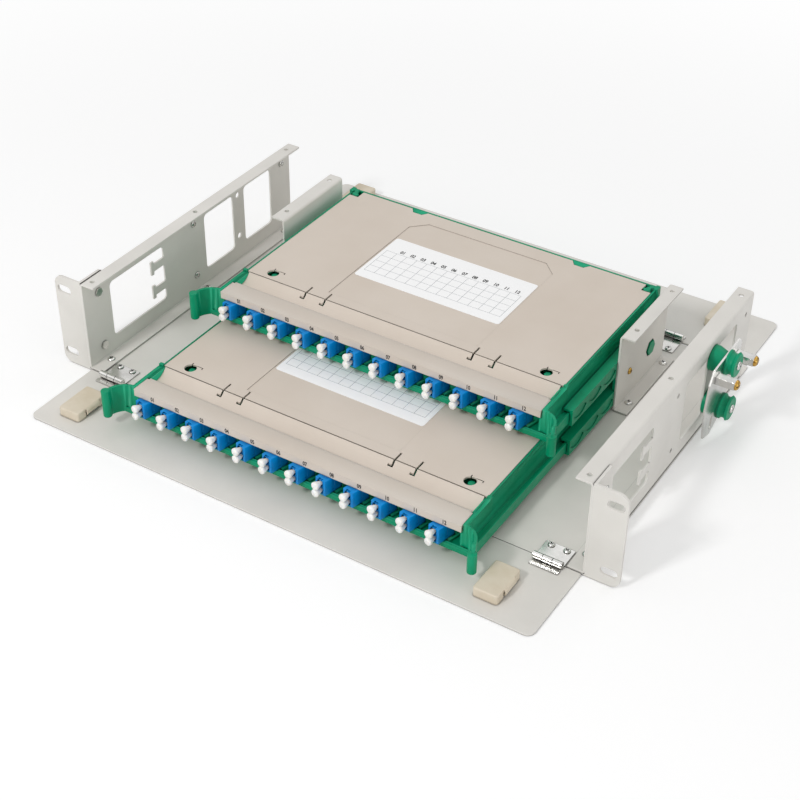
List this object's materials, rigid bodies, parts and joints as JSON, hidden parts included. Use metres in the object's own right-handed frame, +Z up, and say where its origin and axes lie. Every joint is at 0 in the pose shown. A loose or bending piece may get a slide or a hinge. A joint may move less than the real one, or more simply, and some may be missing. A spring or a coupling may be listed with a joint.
{
  "type": "fibre distribution panel",
  "caption": "Rack-mounted fibre distribution panel: open steel chassis with fold-down front and rear doors, two staggered drawer trays of capped adapters, and a side cable clamp.",
  "frame": {"origin": "centre of the four rack slots, on the front face of the ears, midway across the width", "axes": "+X to the right seen from the front, +Y to the back of the rack, +Z up"},
  "size_m": [0.4859, 0.4242, 0.08],
  "materials": {
    "painted_steel": "powder coat, fine texture",
    "zinc_steel": "zinc plated",
    "cream_plastic": "satin moulding",
    "brass": "turned",
    "green_plastic": "satin moulding",
    "beige_plastic": "fine-grained moulding",
    "label_film": "printed film",
    "blue_plastic": "glossy moulding",
    "white_plastic": "glossy moulding",
    "grey_plastic": "moulded",
    "clear_sleeve": "shrink sleeve"
  },
  "bodies": {
    "chassis": {"base_plate": "painted_steel", "side_plate_right": "painted_steel", "side_plate_left": "painted_steel", "rack_ear_right": "painted_steel", "rack_ear_left": "painted_steel", "inner_bracket_right": "painted_steel", "inner_bracket_left": "painted_steel", "side_nuts": "zinc_steel", "foot_screws": "zinc_steel", "bracket_screws": "zinc_steel", "clamp_plate": "zinc_steel", "bush_screws": "zinc_steel", "ear_screws": "zinc_steel", "hinge_screws": "zinc_steel", "front_hinge_leaf_left": "zinc_steel", "front_hinge_pin_left": "zinc_steel", "front_hinge_leaf_right": "zinc_steel", "front_hinge_pin_right": "zinc_steel", "rear_hinge_leaf_left": "zinc_steel", "rear_hinge_pin_left": "zinc_steel", "rear_hinge_leaf_right": "zinc_steel", "rear_hinge_pin_right": "zinc_steel", "rail_screws": "brass", "clamp_screws": "brass", "rail_right": "green_plastic", "rail_left": "green_plastic", "lower_bush_inner": "green_plastic", "lower_bush_outer": "green_plastic", "upper_bush_inner": "green_plastic", "upper_bush_outer": "green_plastic"},
    "front_door": {"front_door": "painted_steel", "front_door_leaf_left": "zinc_steel", "front_door_leaf_right": "zinc_steel", "front_latch_left": "cream_plastic", "front_latch_right": "cream_plastic"},
    "rear_door": {"rear_door": "painted_steel", "rear_door_leaf_left": "zinc_steel", "rear_door_leaf_right": "zinc_steel", "rear_latch_left": "cream_plastic", "rear_latch_right": "cream_plastic"},
    "lower_tray": {"lower_tray": "green_plastic", "lower_front_bar": "beige_plastic", "lower_adapters": "blue_plastic", "lower_dust_caps": "white_plastic", "lower_splice_holder": "grey_plastic", "lower_splice_sleeves": "clear_sleeve"},
    "lower_cover": {"lower_cover": "beige_plastic", "lower_label": "label_film"},
    "upper_tray": {"upper_tray": "green_plastic", "upper_front_bar": "beige_plastic", "upper_adapters": "blue_plastic", "upper_dust_caps": "white_plastic", "upper_splice_holder": "grey_plastic", "upper_splice_sleeves": "clear_sleeve"},
    "upper_cover": {"upper_cover": "beige_plastic", "upper_label": "label_film"}
  },
  "joints": [
    {"name": "lower_tray_slide", "type": "slide", "parent": "chassis", "child": "lower_tray", "axis": [0, 1, 0], "range_m": [0, 0.107]},
    {"name": "upper_tray_slide", "type": "slide", "parent": "chassis", "child": "upper_tray", "axis": [0, 1, 0], "range_m": [-0.06, 0]},
    {"name": "front_door_hinge", "type": "hinge", "parent": "chassis", "child": "front_door", "pos_m": [0, -0.004, -0.035], "axis": [-1, 0, 0], "range_deg": [0, 90]},
    {"name": "rear_door_hinge", "type": "hinge", "parent": "chassis", "child": "rear_door", "pos_m": [0, 0.287, -0.035], "axis": [1, 0, 0], "range_deg": [0, 90]},
    {"name": "upper_cover_hinge", "type": "hinge", "parent": "upper_tray", "child": "upper_cover", "pos_m": [0, 0.10815, 0.0197], "axis": [1, 0, 0], "range_deg": [0, 100]},
    {"name": "lower_cover_hinge", "type": "hinge", "parent": "lower_tray", "child": "lower_cover", "pos_m": [0, 0.00115, -0.0073], "axis": [1, 0, 0], "range_deg": [0, 0.8]}
  ],
  "couplings": [
    {"joint": "front_door_hinge", "follows": "lower_tray_slide", "rad_per_m": 14.67}
  ]
}
